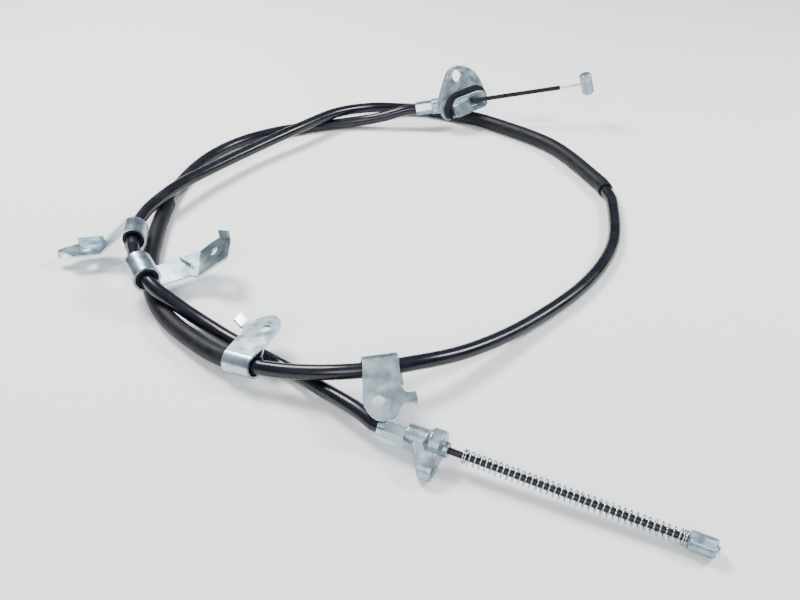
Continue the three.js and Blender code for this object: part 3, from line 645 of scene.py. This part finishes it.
def tube_mesh(name, points, outer, inner, sides=28, lip=0.0):
    """A hollow tube along the points. A lip takes that much off its outer and inner edges at both ends."""
    work = bmesh.new()
    side = Vector((0, 0, 1))
    rings = []
    last = len(points) - 1
    for k, centre in enumerate(points):
        ahead = (points[min(k + 1, last)] - points[max(k - 1, 0)]).normalized()
        across = side.cross(ahead).normalized()
        rise = ahead.cross(across)
        pair = []
        trim = lip if k in (0, last) else 0.0
        for radius in (outer - trim, inner + trim):
            pair.append([
                work.verts.new(centre + (across * math.cos(a) + rise * math.sin(a)) * radius)
                for a in (math.tau * n / sides for n in range(sides))])
        rings.append(pair)
    for k in range(last):
        for n in range(sides):
            m = (n + 1) % sides
            a, b = rings[k][0], rings[k + 1][0]
            work.faces.new((a[n], a[m], b[m], b[n]))
            a, b = rings[k][1], rings[k + 1][1]
            work.faces.new((a[n], b[n], b[m], a[m]))
    for n in range(sides):
        m = (n + 1) % sides
        work.faces.new((rings[0][0][m], rings[0][0][n], rings[0][1][n], rings[0][1][m]))
        work.faces.new((rings[last][0][n], rings[last][0][m], rings[last][1][m], rings[last][1][n]))
    bmesh.ops.recalc_face_normals(work, faces=work.faces)
    mesh = bpy.data.meshes.new(name)
    work.to_mesh(mesh)
    work.free()
    mesh.polygons.foreach_set("use_smooth", [True] * len(mesh.polygons))
    mesh.set_sharp_from_angle(angle=math.radians(SHARP_ANGLE))
    return mesh


def lay_conduit(path):
    conduit = add_piece(
        "black_conduit", bar_mesh("black_conduit", path, "jacket_plastic", CONDUIT_RADIUS),
        "jacket_plastic", "conduit", "conduit_jacket")


def fill_conduit(path):
    for node, finish, radii in (
            ("conduit_armour", "wire_steel", ARMOUR_RADII), ("conduit_liner", "liner_plastic", LINER_RADII)):
        add_piece("smooth_" + node, tube_mesh(node, path, *radii, sides=20), finish, "conduit", node)
    core = bar_mesh("smooth_core", path[1:-1], "wire_coating", COAT_RADIUS, 16)
    add_piece("smooth_core", core, "wire_coating", "conduit", "inner_wire_core")


def fit_bushes(path):
    made = []
    for node, (at, width), wall in (
            ("upper_bush", CLIP_SPANS[2], THICK_BUSH), ("crossing_bush", CLIP_SPANS[3], THICK_BUSH),
            ("middle_bush", CLIP_SPANS[1], THIN_BUSH)):
        inside = stretch(path, (at - width / 2, at + width / 2))
        middle = (inside[0] + inside[-1]) / 2
        along = (inside[-1] - inside[0]).normalized()
        reach = width / 2 - BUSH_INSET
        ends = [middle + along * d for d in (-reach, BUSH_LIP - reach, 0, reach - BUSH_LIP, reach)]
        mesh = tube_mesh(node, ends, SLEEVE_RADII[1] + wall, SLEEVE_RADII[1], 40, BUSH_LIP)
        made.append(add_piece("rubber_" + node, mesh, "black_rubber", "conduit", node))
    return made


def sleeve_conduit(path):
    made = []
    for node, span in (("upper_sleeve", UPPER_SLEEVE), ("left_sleeve", LEFT_SLEEVE)):
        mesh = tube_mesh(node, stretch(path, span), *SLEEVE_RADII, sides=32)
        made.append(add_piece("rubber_" + node, mesh, "black_rubber", "conduit", node))
    return made


def string_wires():
    for side, origin, axis, strand, coat, body in (
            ("front", CONDUIT_FRONT, FRONT_AXIS, FRONT_STRAND, FRONT_COAT, "front_wire"),
            ("rear", CONDUIT_REAR, REAR_AXIS, REAR_STRAND, REAR_COAT, "rear_wire")):
        length = strand[1] - strand[0]
        laid = wire_mesh(
            side + "_laid_wires", laid_strand, along_axis(origin, axis, strand[0]), "wire_steel",
            Radius=STRAND_RADIUS * 2 / 3, Wire_Radius=STRAND_RADIUS / 3, Length=length,
            Turns=length / LAY_PITCH, Steps=14, Sides=8, Wires=LAID_WIRES)
        add_piece(side + "_laid_wires", laid, "wire_steel", body, side + "_wire_strand")
        ends = [origin + axis * d for d in coat]
        skin = bar_mesh(side + "_wire_skin", ends, "wire_coating", COAT_RADIUS, 24)
        add_piece(side + "_wire_skin", skin, "wire_coating", body, side + "_wire_coat")


def wind_spring():
    length = SPRING[1] - SPRING[0]
    mesh = wire_mesh(
        "wound_spring", wound_coil, along_axis(CONDUIT_REAR, REAR_AXIS, SPRING[0] + SPRING_WIRE),
        "spring_steel", Radius=SPRING_RADIUS - SPRING_WIRE, Wire_Radius=SPRING_WIRE,
        Length=length - 2 * SPRING_WIRE, Turns=float(SPRING_TURNS), Steps=22, Sides=10,
        Closed_Share=CLOSED_TURNS / SPRING_TURNS, Closed_Length=CLOSED_TURNS * CLOSED_PITCH)
    spring = add_piece("wound_spring", mesh, "spring_steel", "rear_wire", "return_spring")
    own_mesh(spring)


place_camera()
route = conduit_path()
clips = [pressed(node, "zinc_plate", "conduit") for node in
         ("upper_clip", "crossing_clip", "lower_clip", "middle_clip")]
bushes = fit_bushes(route)
ferrules = [pressed(node, "zinc_plate", "conduit", CRIMP_ANGLE) for node in
            ("front_ferrule", "rear_ferrule")]
moulded("front_flange", "cast_zinc", "conduit", grain=0.00045, rounds=5)
moulded("front_seal", "black_rubber", "conduit", grain=0.0004, rounds=3)
housing = moulded("rear_housing", "cast_zinc", "conduit", grain=0.00042, rounds=5)
pressed("barrel_nipple", "cast_zinc", "front_wire", TURNED_ANGLE)
pressed("end_fitting", "cast_zinc", "rear_wire", TURNED_ANGLE)
sleeves = sleeve_conduit(route)
lay_conduit(route)
fill_conduit(route)
string_wires()
wind_spring()
lay_floor()
light_studio()
